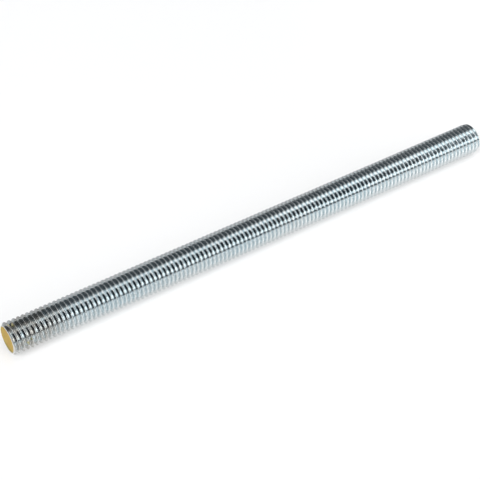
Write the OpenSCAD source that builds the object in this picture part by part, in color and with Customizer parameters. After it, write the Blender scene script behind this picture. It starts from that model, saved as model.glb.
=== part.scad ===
// Threaded rod: a length of zinc-plated steel bar with a coarse metric thread,
// M12 x 1.75, rolled along it from end to end. Both ends are sawn and chamfered,
// and the marked end has the deeper chamfer, which starts a nut on the thread.
//
// The rod lies along X. The origin is the middle of its axis, and the end that
// carries the paint mark faces -X.
//
// The solid is the cylinder that the thread crests lie on, which is what a nut,
// a tapped hole or a clearance hole is sized from. The grooves between the
// crests are a surface finish at this scale and aren't cut into it.

/* [Rod] */
// Length over the two end faces
rod_length = 205; // [40:1:1000]
// Outside diameter, over the crests of the thread
thread_d = 12; // [8:0.5:30]

/* [Thread] */
// Pitch, from one crest to the next along the rod
thread_pitch = 1.75; // [0.75:0.25:3.5]

/* [End chamfers] */
// How far below the bottom of the thread the marked end's chamfer runs, on the radius
chamfer_past_root = 0.1; // [0:0.05:0.5]
// Depth of the plain end's chamfer, on the radius
plain_chamfer_depth = 0.6; // [0.2:0.05:1.2]
// Slope of both chamfers, measured from the rod's axis
chamfer_angle = 45; // [25:5:60]

/* [Hidden] */

// A 60 degree metric thread is this many pitches deep on a screw
depth_per_pitch = 0.6134;
// Bright zinc plating, a slightly blue silver
zinc = [0.74, 0.77, 0.80];
// Facets round the rod when it is drawn as a mesh
round_fn = 96;

thread_depth = depth_per_pitch * thread_pitch;
thread_r = thread_d / 2;
marked_chamfer_depth = thread_depth + chamfer_past_root;
marked_chamfer_len = marked_chamfer_depth / tan(chamfer_angle);
plain_chamfer_len = plain_chamfer_depth / tan(chamfer_angle);

// Half of the rod's section, with the axis on the left and the marked end at the bottom
module rod_section() {
    polygon([
        [0, 0],
        [thread_r - marked_chamfer_depth, 0],
        [thread_r, marked_chamfer_len],
        [thread_r, rod_length - plain_chamfer_len],
        [thread_r - plain_chamfer_depth, rod_length],
        [0, rod_length]
    ]);
}

// The whole rod, turned in one piece and laid along X about the origin
module threaded_rod() {
    color(zinc)
        translate([-rod_length / 2, 0, 0])
            rotate([0, 90, 0])
                rotate_extrude($fn = round_fn)
                    rod_section();
}

threaded_rod();
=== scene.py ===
# %% [markdown]
# # A zinc-plated threaded rod
#
# A threaded rod is a plain steel bar that has been rolled between dies until a thread stands
# up along its whole length. It is then zinc plated, cut to length and chamfered, and one end
# gets a dab of paint that tells its strength class. This lesson makes the one piece, its two
# finishes, and a small white studio to look at it in.
#
# The engineering model is loaded first. It is the plain cylinder that the thread crests lie
# on, and it fixes the length, the diameter and where the rod is.

# %% Load the engineering model
import math
from contextlib import contextmanager

import bmesh
import bpy
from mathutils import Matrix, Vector


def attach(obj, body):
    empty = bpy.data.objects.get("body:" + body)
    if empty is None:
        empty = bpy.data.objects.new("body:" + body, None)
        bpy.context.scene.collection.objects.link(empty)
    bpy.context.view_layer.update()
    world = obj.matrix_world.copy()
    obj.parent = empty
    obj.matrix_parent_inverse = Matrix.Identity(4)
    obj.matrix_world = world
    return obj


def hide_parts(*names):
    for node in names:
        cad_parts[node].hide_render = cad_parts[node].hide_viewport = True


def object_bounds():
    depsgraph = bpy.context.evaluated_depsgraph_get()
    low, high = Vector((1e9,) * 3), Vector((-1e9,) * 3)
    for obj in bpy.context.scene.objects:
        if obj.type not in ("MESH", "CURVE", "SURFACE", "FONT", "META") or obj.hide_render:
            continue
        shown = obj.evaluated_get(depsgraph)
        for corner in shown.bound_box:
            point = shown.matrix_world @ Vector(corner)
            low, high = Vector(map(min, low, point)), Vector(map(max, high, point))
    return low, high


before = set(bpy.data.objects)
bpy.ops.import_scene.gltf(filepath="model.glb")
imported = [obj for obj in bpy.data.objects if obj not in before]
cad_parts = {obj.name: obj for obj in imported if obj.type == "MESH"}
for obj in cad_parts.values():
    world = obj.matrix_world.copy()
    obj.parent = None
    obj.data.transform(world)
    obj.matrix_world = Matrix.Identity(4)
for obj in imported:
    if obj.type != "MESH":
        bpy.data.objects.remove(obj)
cad_low, cad_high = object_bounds()

MM = 0.001
rod_length = cad_high.x - cad_low.x
crest_r = (cad_high.z - cad_low.z) / 2
print(f"rod {rod_length / MM:.1f} mm long, {2 * crest_r / MM:.2f} mm over the crests")

# %% [markdown]
# ## Helpers for modelling
#
# Operators work on whatever is selected, so every step selects its own object first and ends
# in object mode. A few lines of bmesh pick faces by a test, as a hand would by eye.

# %% Selection and modifiers
def only(piece):
    """Selects one object and makes it the active one."""
    bpy.ops.object.select_all(action="DESELECT")
    piece.select_set(True)
    bpy.context.view_layer.objects.active = piece


@contextmanager
def editing(piece):
    """Edit mode on one object with its whole mesh selected, and object mode afterwards."""
    only(piece)
    bpy.ops.object.mode_set(mode="EDIT")
    bpy.ops.mesh.select_all(action="SELECT")
    yield
    bpy.ops.object.mode_set(mode="OBJECT")


def pick_faces(piece, wanted):
    """In edit mode, selects the faces whose normal passes a test, and no others."""
    bpy.ops.mesh.select_mode(type="FACE")
    bpy.ops.mesh.select_all(action="DESELECT")
    shape = bmesh.from_edit_mesh(piece.data)
    for face in shape.faces:
        if wanted(face.normal):
            face.select_set(True)
    shape.select_flush_mode()
    bmesh.update_edit_mesh(piece.data)


def applied(piece, kind, **settings):
    """Adds a modifier, gives it its settings and applies it."""
    only(piece)
    modifier = piece.modifiers.new(kind.title(), kind)
    for name, value in settings.items():
        setattr(modifier, name, value)
    bpy.ops.object.modifier_apply(modifier=modifier.name)


def tell(piece, words):
    """Prints how big a mesh is, and how many triangles it holds."""
    corners = [Vector(c) for c in piece.bound_box]
    size = [(max(c[i] for c in corners) - min(c[i] for c in corners)) / MM for i in range(3)]
    triangles = sum(len(face.vertices) - 2 for face in piece.data.polygons)
    print(f"{words}: {size[0]:.2f} x {size[1]:.2f} x {size[2]:.2f} mm, {triangles} triangles")

# %% [markdown]
# ## The section of the thread
#
# A metric thread is a 60 degree V. Rolling rounds both the tip and the bottom of it, so the
# section is two straight flanks joined by arcs. An arc in a 60 degree V lies its own radius
# away from the V's point, so the thread is as deep as the whole V less the two radii. The tip
# is left fairly sharp, which makes the ridges a little slimmer than the standard's basic
# form, by less than a bolt thread is allowed.

# %% Measures of an M12 thread
pitch = 1.75 * MM
flank_lean = math.radians(30)
sharp_height = pitch * math.sqrt(3) / 2
crest_round = 0.12 * MM
root_round = sharp_height / 6.5
thread_depth = sharp_height - crest_round - root_round
root_middle = thread_depth - root_round
print(f"thread {thread_depth / MM:.3f} mm deep, radius {crest_round / MM:.3f} mm on the crest "
      f"and {root_round / MM:.3f} mm in the root")

# %% One pitch of the section, as points (along the rod, below the crests)
crest_steps, root_steps = 2, 5
arc_reach = math.pi / 2 - flank_lean


def thread_section():
    """From the top of one crest, down a flank, round the root and up to the next top."""
    half_crest = []
    for step in range(crest_steps + 1):
        turn = arc_reach * step / crest_steps
        half_crest.append((crest_round * math.sin(turn), crest_round * (1 - math.cos(turn))))
    root = []
    for step in range(root_steps + 1):
        turn = arc_reach * (2 * step / root_steps - 1)
        root.append((pitch / 2 + root_round * math.sin(turn),
                     root_middle + root_round * math.cos(turn)))
    return half_crest + root + [(pitch - along, depth) for along, depth in reversed(half_crest)]


section = thread_section()
print(f"{len(section) - 1} edges to a pitch")

# %% [markdown]
# ## Rolling the thread
#
# A thread is one section carried round and along the bar. Drawn by hand it is a single
# vertex, extruded from corner to corner, and the Screw modifier does the rolling: a whole
# turn for each pitch. The section ends exactly one pitch from where it starts, so each turn
# meets the next, and merging the doubles makes one skin of them. A small offset sets where
# the crests fall at the two ends.

# %% Draw the section and screw it along
turn_steps = 72
spare_turns = 4
turns = math.ceil(rod_length / pitch) + spare_turns
crest_offset = pitch / 4
thread_start = crest_offset - turns * pitch / 2

bpy.ops.object.select_all(action="DESELECT")
bpy.ops.mesh.primitive_plane_add(size=pitch)
rod = bpy.context.object
rod.name = "threaded_bar"
with editing(rod):
    bpy.ops.mesh.merge(type="CENTER")
    bpy.ops.transform.translate(value=(thread_start + section[0][0], 0, crest_r))
    for (x0, d0), (x1, d1) in zip(section, section[1:]):
        bpy.ops.mesh.extrude_region_move(TRANSFORM_OT_translate={"value": (x1 - x0, 0, d0 - d1)})
applied(rod, "SCREW", axis="X", angle=math.tau, screw_offset=pitch, iterations=turns,
        steps=turn_steps, render_steps=turn_steps, use_normal_calculate=True,
        use_merge_vertices=True, merge_threshold=0.01 * MM)
tell(rod, "rolled bar")

# %% [markdown]
# ## Cutting it to length
#
# The rolled skin is open and ragged where it starts and stops. Two bisects cut it square, half
# a pitch too long at each end, and fill the cuts, which makes a closed bar. The ends get their
# true form next.

# %% Trim the ragged turns and close the bar
with editing(rod):
    bpy.ops.mesh.remove_doubles(threshold=0.002 * MM)
    for side in (-1, 1):
        bpy.ops.mesh.select_all(action="SELECT")
        bpy.ops.mesh.bisect(plane_co=(side * (rod_length / 2 + pitch / 2), 0, 0),
                            plane_no=(side, 0, 0), threshold=0.0001 * MM,
                            use_fill=True, clear_outer=True)
    bpy.ops.mesh.select_all(action="SELECT")
    bpy.ops.mesh.normals_make_consistent(inside=False)
tell(rod, "trimmed bar")

# %% [markdown]
# ## Sawn and chamfered ends
#
# On the bench the ends are sawn and then chamfered. The marked end's chamfer runs in just
# below the bottom of the thread, to start a nut, and the plain end's only takes the burr
# off. The marked one is reckoned from the standard's depth of the thread and a little over. A
# plain blank of the finished outline, with its rims bevelled, stands for both tools: what the
# bar and the blank share is the finished rod.

# %% The finished outline, and what it leaves of the bar
standard_depth = 0.6134 * pitch
past_root = 0.1 * MM
marked_chamfer = standard_depth + past_root
plain_chamfer = 0.6 * MM
blank_sides = 128
blank_corner_r = crest_r / math.cos(math.pi / blank_sides)

bpy.ops.object.select_all(action="DESELECT")
bpy.ops.mesh.primitive_cylinder_add(vertices=blank_sides, radius=blank_corner_r, depth=rod_length)
blank = bpy.context.object
with editing(blank):
    for end, depth in ((-1, marked_chamfer), (1, plain_chamfer)):
        pick_faces(blank, lambda normal: normal.z * end > 0.9)
        bpy.ops.mesh.region_to_loop()
        bpy.ops.mesh.bevel(offset=depth, segments=1, profile=0.5, affect="EDGES")
    bpy.ops.mesh.select_all(action="SELECT")
    bpy.ops.transform.rotate(value=math.pi / 2, orient_axis="Y", center_override=(0, 0, 0))
tell(blank, "blank")
applied(rod, "BOOLEAN", operation="INTERSECT", solver="MANIFOLD", object=blank)
bpy.data.objects.remove(blank)

# %% [markdown]
# ## A clean skin
#
# Where the two skins cross, a few points land within a thousandth of a millimetre of each
# other, and these are merged. The cut also leaves faces of five corners and more. They are cut
# into triangles here, because left to an exporter two neighbours may get the same diagonal,
# and the skin is then pinched along it.

# %% Merge the near points and cut up the many-sided faces
with editing(rod):
    bpy.ops.mesh.remove_doubles(threshold=0.001 * MM)
    bpy.ops.mesh.select_all(action="DESELECT")
    bpy.ops.mesh.select_mode(type="FACE")
    bpy.ops.mesh.select_face_by_sides(number=4, type="GREATER")
    bpy.ops.mesh.quads_convert_to_tris(quad_method="BEAUTY", ngon_method="BEAUTY")
tell(rod, "finished bar")

# %% [markdown]
# ## Smooth flanks
#
# The flanks are straight from crest to root, and they mirror the studio in clean stripes only
# if the shading treats them as straight too. Smoothing by angle keeps the rims of the ends
# sharp. The Weighted Normal modifier then lets each big flank face win over the narrow faces
# of the rounded crest and root beside it. It takes such tiny faces for empty ones, so the rod
# is made a thousand times larger while the modifier works, and then its own size again.

# %% Smooth the thread
def scaled_mesh(piece, factor):
    """Scales the mesh itself, so that the object stays unscaled."""
    with editing(piece):
        bpy.ops.transform.resize(value=(factor, factor, factor), center_override=(0, 0, 0))


only(rod)
bpy.ops.object.shade_smooth_by_angle(angle=math.radians(35), keep_sharp_edges=True)
scaled_mesh(rod, 1 / MM)
applied(rod, "WEIGHTED_NORMAL", weight=75, keep_sharp=True)
scaled_mesh(rod, MM)
tell(rod, "smooth bar")

# %% [markdown]
# ## Shader sums as Python
#
# A material is a net of nodes. Written out one by one the nodes hide the idea, so a small
# class stands for a wire between them, and a sum on wires adds the Math nodes that do it.

# %% A wire between nodes
class Wire:
    """An output socket. Sums on wires add Math nodes, and node() adds any other node."""

    def __init__(self, tree, socket=None):
        self.tree = tree
        self.socket = socket

    def node(self, kind, settings=None, sockets=None, out=0):
        """Adds a node, sets it up, then fills its sockets with values or wires."""
        made = self.tree.nodes.new(kind)
        for name, value in (settings or {}).items():
            setattr(made, name, value)
        for name, value in (sockets or {}).items():
            if isinstance(value, Wire):
                self.tree.links.new(value.socket, made.inputs[name])
            else:
                made.inputs[name].default_value = value
        return Wire(self.tree, made.outputs[out]) if made.outputs else made

    def other(self, name):
        """Another output of the node that this wire comes out of."""
        return Wire(self.tree, self.socket.node.outputs[name])

    def maths(self, operation, first, second=0.0):
        return self.node("ShaderNodeMath", {"operation": operation}, {0: first, 1: second})

    def __add__(self, other):
        return self.maths("ADD", self, other)

    def __sub__(self, other):
        return self.maths("SUBTRACT", self, other)

    def __rsub__(self, other):
        return self.maths("SUBTRACT", other, self)

    def __mul__(self, other):
        return self.maths("MULTIPLY", self, other)

    def __truediv__(self, other):
        return self.maths("DIVIDE", self, other)

    def __neg__(self):
        return self.maths("MULTIPLY", self, -1)

    def __abs__(self):
        return self.maths("ABSOLUTE", self)

    def __pow__(self, other):
        return self.maths("POWER", self, other)

    def larger(self, other):
        return self.maths("MAXIMUM", self, other)

    def rise(self, low, high):
        """Goes softly from 0 to 1 while this wire goes from low to high."""
        limits = {"Value": self, "From Min": low, "From Max": high}
        return self.node("ShaderNodeMapRange", {"interpolation_type": "SMOOTHSTEP"}, limits)

    def within(self, low, high, soft):
        """1 between low and high and 0 outside, with edges that are soft either way."""
        return self.rise(low - soft, low + soft) * (1 - self.rise(high - soft, high + soft))

    def blend(self, first, second):
        """Where this wire is 0 the first colour, where it is 1 the second."""
        mix = {"data_type": "RGBA", "clamp_factor": True}
        return self.node("ShaderNodeMix", mix, {"Factor": self, 6: first, 7: second}, 2)

    __radd__ = __add__
    __rmul__ = __mul__


def new_material(name):
    """A material with an empty net, and a wire to start from."""
    material = bpy.data.materials.new(name)
    material.use_nodes = True
    material.node_tree.nodes.clear()
    return material, Wire(material.node_tree)


def tone(red, green, blue):
    """A colour as a socket takes it."""
    return (red, green, blue, 1)

# %% [markdown]
# ## Where a point is on the bar
#
# Plating, grime and paint all know their place on a rod: deep in the thread or up on a crest,
# at the marked end or far from it. Object coordinates give three numbers at every point, and
# three more are worked out from them: the distances from the axis, from the marked end and
# from the plain end. The pattern then stays fixed to the steel, however the rod is turned.

# %% Measures of a point
zinc, wire = new_material("zinc_plate")
place = wire.node("ShaderNodeTexCoord", out="Object")
x = place.node("ShaderNodeSeparateXYZ", sockets={"Vector": place})
y = x.other("Y")
z = x.other("Z")
radius = (y * y + z * z) ** 0.5
from_marked_end = x + rod_length / 2
from_plain_end = rod_length / 2 - x
root_r = crest_r - thread_depth
height = radius.rise(root_r, crest_r)
print(f"the thread runs from {root_r / MM:.2f} mm to {crest_r / MM:.2f} mm from the axis")

# %% [markdown]
# ## Clouds, grain and rolling marks
#
# Nothing on a plated bar repeats, so every pattern starts as noise of a known size. Two kinds
# are needed. Plain noise gives clouds and grain. The other is stretched round the bar: its
# place is the distance along the bar and a direction from the axis made short, so that it
# changes quickly along the bar and slowly round it, as the marks of the rolling dies do.

# %% Noise at a size in millimetres
def noise(size, detail, shift, at=place):
    """Cloudy noise from 0 to 1, with blots of about this size."""
    sockets = {"Vector": at, "W": shift, "Scale": 1 / size, "Detail": detail, "Roughness": 0.55}
    return wire.node("ShaderNodeTexNoise", {"noise_dimensions": "4D"}, sockets)


round_the_bar = 2 * MM
stretched = wire.node("ShaderNodeCombineXYZ", sockets={
    "X": x + radius, "Y": y / radius * round_the_bar, "Z": z / radius * round_the_bar})
drift = noise(30 * MM, 2, 3)
clouds = noise(3 * MM, 4, 7)
speckle = noise(0.7 * MM, 3, 11)
grain = noise(0.2 * MM, 3, 17)
rolling_marks = noise(0.3 * MM, 2, 23, stretched)
print("noise of 30, 3, 0.7 and 0.2 mm, and marks round the bar")

# %% [markdown]
# ## Bright zinc
#
# Zinc from a plating bath is a bright metal with a blue cast, because it is rinsed in a
# blue passivate. The cast wanders along the bar. The bath coats the crests best, and handling
# polishes them, while the roots keep a dull grey film. The colour also holds painted light:
# the roots are darker as painted shade in the recesses, and the crests lighter as a painted
# highlight. So the colour goes from root to crest, and the speckle makes the border between
# them uneven.

# %% Plating, with painted shade in the roots and a painted highlight on the crests
cool_zinc = tone(0.610, 0.675, 0.695)
plain_zinc = tone(0.655, 0.685, 0.690)
# The root colour is partly a dull film and partly painted shade, the crest colour partly polish and
# partly a painted highlight.
root_film_and_shade = tone(0.500, 0.570, 0.600)
crest_polish_and_highlight = tone(0.720, 0.750, 0.760)
plating = drift.rise(0.35, 0.65).blend(cool_zinc, plain_zinc)
# Painted shade darkens the roots and a painted highlight lightens the crests, over a real film and
# polish.
film_and_shade = (1 - height.rise(0.1, 0.6)) * (0.5 + speckle * 0.6)
polish_and_highlight = height.rise(0.75, 1.0)
plating = polish_and_highlight.blend(film_and_shade.blend(plating, root_film_and_shade), crest_polish_and_highlight)
print("zinc:", cool_zinc[:3], "to", plain_zinc[:3], "with", root_film_and_shade[:3], "in the roots")

# %% [markdown]
# ## The handled end
#
# The rod is picked up, dabbed and stood on its marked end, so its first dozen threads are
# dull and slightly brown, less and less. The chamfer was cut through the plating, and there
# the steel is bare and has darkened, while the face beside it was cut last and is still
# bright. The other end has dark bare steel on its small chamfer and on its sawn face. A mask
# for a cut face is made from its own geometry: on a 45 degree chamfer the distance from the
# axis less the distance from the end is the same everywhere.

# %% Grime and bare steel
marked_face_r = crest_r - marked_chamfer
plain_face_r = crest_r - plain_chamfer
hair = 0.02 * MM


def chamfer_mask(from_end, face_r, chamfer):
    """1 on the cone of one chamfer."""
    off_cone = abs(radius - from_end - face_r)
    return (1 - off_cone.rise(hair, 2 * hair)) * (1 - from_end.rise(chamfer, chamfer + hair))


on_marked_face = 1 - from_marked_end.rise(hair, 2 * hair)
on_plain_face = 1 - from_plain_end.rise(hair, 2 * hair)
on_chamfer = chamfer_mask(from_marked_end, marked_face_r, marked_chamfer)
on_chamfer = on_chamfer.larger(chamfer_mask(from_plain_end, plain_face_r, plain_chamfer))
handled_to = 26 * MM
handled = 1 - from_marked_end.rise(8 * MM, handled_to)
grime = handled * clouds.rise(0.3, 0.6) * (0.45 + 0.5 * speckle)
dulled = grime.blend(plating, tone(0.44, 0.41, 0.37))
bare_steel = clouds.rise(0.35, 0.65).blend(tone(0.30, 0.26, 0.22), tone(0.46, 0.44, 0.42))
fresh_rim = tone(0.74, 0.73, 0.70)
bare_steel = on_marked_face.blend(bare_steel, fresh_rim)
bare = on_chamfer.larger(on_plain_face).larger(on_marked_face)
metal_colour = bare.blend(dulled, bare_steel)
print(f"handled for {handled_to / MM:.0f} mm, "
      f"bare steel outside {marked_face_r / MM:.2f} and {plain_face_r / MM:.2f} mm")

# %% [markdown]
# ## The dab of paint
#
# The mark is thick yellow paint, dabbed on the sawn face with a brush. At the front it stops
# short of the rim in a ragged edge that leaves a bright line of steel, and at the back and
# the bottom it reaches the rim. It is orange in patches where it is thin, and a darker olive
# towards the bottom. Two spots have splashed onto the thread. A spot is a ball round a point
# of the crest, roughened with speckle.

# %% Paint on the face and spots on the thread
bare_rim = 0.12 * MM
edge_soft = 0.03 * MM
low_down = (1 - z.rise(-0.8 * marked_face_r, -0.45 * marked_face_r)) * (0.4 + 0.8 * speckle)
run_out = y.rise(0, 0.8 * marked_face_r).larger(low_down)
paint_edge = radius + (speckle - 0.5) * 0.9 * MM - run_out * 0.2 * MM
paint_r = marked_face_r - bare_rim
dab = on_marked_face * (1 - paint_edge.rise(paint_r - edge_soft, paint_r + edge_soft))


def spot(from_end, turned_deg, size):
    """1 inside a ragged spot on the crest, turned from straight up towards the front."""
    turned = math.radians(turned_deg)
    sideways = y + crest_r * math.sin(turned)
    upwards = z - crest_r * math.cos(turned)
    lengthways = from_marked_end - from_end
    reach = (sideways * sideways + upwards * upwards + lengthways * lengthways) ** 0.5
    ragged = reach / size + (speckle - 0.5) * 1.5
    return 1 - ragged.rise(0.8, 1.0)


spots = spot(2.2 * MM, -7, 1.1 * MM).larger(spot(5.8 * MM, 84, 1.1 * MM))
thin = clouds.rise(0.40, 0.62)
yellow = thin.blend(tone(0.52, 0.365, 0.06), tone(0.50, 0.30, 0.04))
# Darker olive towards the bottom of the face.
yellow = low_down.blend(yellow, tone(0.27, 0.23, 0.04))
paint_colour = spots.blend(yellow, tone(0.36, 0.32, 0.10))
spot_cover = 0.75
painted = dab.larger(spots * spot_cover)
skin_colour = painted.blend(metal_colour, paint_colour)
print(f"paint to about {bare_rim / MM:.2f} mm from the front rim, "
      f"on a face {2 * marked_face_r / MM:.2f} mm across")

# %% [markdown]
# ## How rough, and how uneven
#
# Polished crests throw back a sharp picture of the studio, and the roots a softer one. The
# cut faces keep the marks of their tools: straight lines from the saw blade, which a Wave
# texture draws, and fine rings on the chamfers. Only the height of these marks is given, and
# a Bump node tilts the light with it.

# %% Roughness and height
roughness = 0.03 + 0.03 * (1 - height) + 0.03 * rolling_marks + 0.10 * grime + 0.14 * bare
roughness = painted * 0.45 + (1 - painted) * roughness
saw_lines = wire.node("ShaderNodeTexWave", {"wave_type": "BANDS", "bands_direction": "Z"}, {
    "Vector": place, "Scale": 0.5 / MM, "Distortion": 3.0, "Detail": 3.0,
    "Detail Scale": 0.4}, "Fac")
rings = noise(0.06 * MM, 2, 29, wire.node("ShaderNodeCombineXYZ", sockets={"X": x}))
marks = (grain + rolling_marks) * (0.05 + 0.25 * handled)
marks = marks + on_chamfer * rings + on_plain_face * saw_lines * 2
marks = painted * clouds * 6 + (1 - painted) * marks
uneven = wire.node("ShaderNodeBump", sockets={
    "Strength": 0.35, "Distance": 0.01 * MM, "Height": marks})
surface = wire.node("ShaderNodeBsdfPrincipled", sockets={
    "Base Color": skin_colour, "Metallic": 1 - painted, "Roughness": roughness,
    "Specular IOR Level": 0.15, "Normal": uneven})
wire.node("ShaderNodeOutputMaterial", sockets={"Surface": surface})
rod.data.materials.clear()
rod.data.materials.append(zinc)
print(len(zinc.node_tree.nodes), "nodes in the zinc")

# %% [markdown]
# ## A white floor
#
# Polished metal has hardly any colour of its own: it shows the room. So the studio is part of
# the finish. The rod lies on a white glazed board. The board is matt under a clear coat, so
# that it is white from above and darkens towards a glancing look, which gives the lower
# flanks their dark dashes. A glow brings its white up to full white for the eye and for
# reflections, and leaves the light that it throws on the rod alone. Behind the rod the board
# holds a painted shadow of the rod: a strip where reflections miss most of the glow, and the
# eye doesn't. It gives the thread a dark edge against white, as a dark card beside bright
# metal would.

# %% The board
board_size = 8
bpy.ops.object.select_all(action="DESELECT")
bpy.ops.mesh.primitive_plane_add(size=board_size, location=(0, 0, cad_low.z))
floor = bpy.context.object
floor.name = "studio_floor"

floor_tone = 0.50
floor_glow = 0.47
board, board_wire = new_material("white_board")
seen = board_wire.node("ShaderNodeLightPath", out="Is Camera Ray")
mirrored = seen.other("Is Glossy Ray").larger(seen.other("Is Transmission Ray"))
board_place = board_wire.node("ShaderNodeTexCoord", out="Object")
behind = board_place.node("ShaderNodeSeparateXYZ", sockets={"Vector": board_place}).other("Y")
# A painted shadow of the rod on the board behind it, seen only in reflections.
painted_shadow_strip = behind.within(10 * MM, 42 * MM, 8 * MM)
painted_shadow_darkness = 0.9
seen = seen.larger(mirrored * (1 - painted_shadow_darkness * painted_shadow_strip))
glazed = board_wire.node("ShaderNodeBsdfPrincipled", sockets={
    "Base Color": tone(floor_tone, floor_tone, floor_tone), "Roughness": 0.9,
    "Specular IOR Level": 0.0, "Coat Weight": 1.0, "Coat Roughness": 0.12, "Coat IOR": 1.8,
    "Emission Color": seen, "Emission Strength": floor_glow})
board_wire.node("ShaderNodeOutputMaterial", sockets={"Surface": glazed})
floor.data.materials.append(board)
print(f"floor at z = {cad_low.z / MM:.1f} mm, tone {floor_tone}, glow {floor_glow}")

# %% [markdown]
# ## Soft boxes in a dark room
#
# Bright metal is lit with a few soft boxes in a dark room, because each flank of the thread
# picks out one direction and shows what is there: a lamp makes a white line and the room a
# dark one. The boxes are drawn on the world. Their places are given as seen from the rod: how
# far round it, from the horizon in front over the top to the horizon behind, and how far
# along it, from square on to the plain end at 90 degrees. One round lamp stands straight off
# the marked end, for the light that skims along the bar. The room is bluish, and its wall is
# lighter on the marked end's side.

# %% The world
studio = bpy.data.worlds.new("studio")
bpy.context.scene.world = studio
studio.use_nodes = True
studio.node_tree.nodes.clear()
world_wire = Wire(studio.node_tree)
looking = world_wire.node("ShaderNodeTexCoord", out="Generated")
east = looking.node("ShaderNodeSeparateXYZ", sockets={"Vector": looking})
north, up = east.other("Y"), east.other("Z")
around = up.maths("ARCTAN2", up, -north) * math.degrees(1)
along = up.maths("ARCSINE", east) * math.degrees(1)


def soft_box(strength, around_from, around_to, around_soft, along_from, along_to, along_soft):
    """A glowing patch of the world. All but the strength are degrees."""
    across = around.within(around_from, around_to, around_soft)
    return across * along.within(along_from, along_to, along_soft) * strength


overhead = soft_box(2.7, 16, 80, 15, 0, 21, 9)
front_lamp = soft_box(3.5, 5, 39, 5, -2, 17, 13)
front_wing = soft_box(2.4, 11, 30, 5, 24, 34, 9)
top_wing = soft_box(1.4, 81, 103, 4.5, -1.5, 44, 5)
top_lamp = soft_box(0.7, 75, 112, 3, 13, 30, 5.5)
side_lamp = soft_box(4.0, 58, 86, 7, -57, -41, 4)
back_fill = soft_box(0.15, 78, 126, 9, -39, 12, 5)
end_lamp = soft_box(1.2, 112, 180, 8, 33, 90, 5)
low_fill = soft_box(0.22, 8, 21, 4, 36, 52, 7)
beside_lamp = (1 - along.rise(-84, -64)) * 0.9
lamps = overhead + front_lamp + front_wing + top_wing + top_lamp
lamps = lamps + side_lamp + back_fill + end_lamp + low_fill + beside_lamp
near_wall = (1 - along.rise(15, 40)) * 0.10
red, green, blue = (lamps + near_wall + room for room in (0.035, 0.045, 0.055))
glow = world_wire.node("ShaderNodeCombineColor", sockets={"Red": red, "Green": green, "Blue": blue})
background = world_wire.node("ShaderNodeBackground", sockets={"Color": glow, "Strength": 1.0})
world_wire.node("ShaderNodeOutputWorld", sockets={"Surface": background})
print("nine soft boxes and a round lamp in a dark room")

# %% [markdown]
# ## A large lamp for the matt surfaces
#
# Paint and the board show no picture of the room: they only gather light, and the soft boxes
# alone leave them dim. One broad lamp brings them up to the level at which white looks white.
# It stands high up beyond the marked end, so that it reaches the painted face, and the soft
# shadow falls under the rod and hardly beside it. Reflections skip it, because the metal
# already has the boxes to show.

# %% The broad lamp
broad_lamp_data = bpy.data.lights.new("broad_lamp", "SUN")
broad_lamp_data.energy = 2.4
broad_lamp_data.angle = math.radians(35)
broad_lamp = bpy.data.objects.new("broad_lamp", broad_lamp_data)
bpy.context.collection.objects.link(broad_lamp)
towards_lamp = Vector((-0.55, -0.28, 0.6))
broad_lamp.rotation_euler = towards_lamp.to_track_quat("Z", "Y").to_euler()
broad_lamp.visible_glossy = False
lamp_height = math.degrees(math.asin(towards_lamp.normalized().z))
print(f"the broad lamp stands {lamp_height:.0f} degrees up")

# %% [markdown]
# ## The camera
#
# A long lens from a little over half a metre looks down on the rod from in front of its
# marked end, so that the near end is clearly larger than the far one. The camera is placed
# by two angles and a distance from a point beside the middle of the rod.

# %% Place the camera
camera_azimuth = math.radians(-33.0)
camera_elevation = math.radians(42.3)
camera_distance = 552 * MM
camera_lens = 111.8
aim_right = -6.2 * MM
aim_up = -3.4 * MM

to_camera = Vector((math.sin(camera_azimuth) * math.cos(camera_elevation),
                    -math.cos(camera_azimuth) * math.cos(camera_elevation),
                    math.sin(camera_elevation)))
camera_right = Vector((0, 0, 1)).cross(to_camera).normalized()
camera_up = to_camera.cross(camera_right)
camera_data = bpy.data.cameras.new("camera")
camera_data.lens = camera_lens
camera_data.clip_start = 0.01
camera_data.clip_end = 20
camera = bpy.data.objects.new("camera", camera_data)
bpy.context.collection.objects.link(camera)
camera.location = camera_right * aim_right + camera_up * aim_up + to_camera * camera_distance
camera.rotation_euler = to_camera.to_track_quat("Z", "Y").to_euler()
bpy.context.scene.camera = camera
bpy.context.scene.view_settings.view_transform = "Standard"
print(f"camera {camera_distance / MM:.0f} mm away with a {camera_lens:.0f} mm lens")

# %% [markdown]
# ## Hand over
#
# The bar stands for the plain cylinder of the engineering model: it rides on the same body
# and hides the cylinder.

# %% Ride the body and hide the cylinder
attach(rod, "root")
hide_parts("threaded_rod")
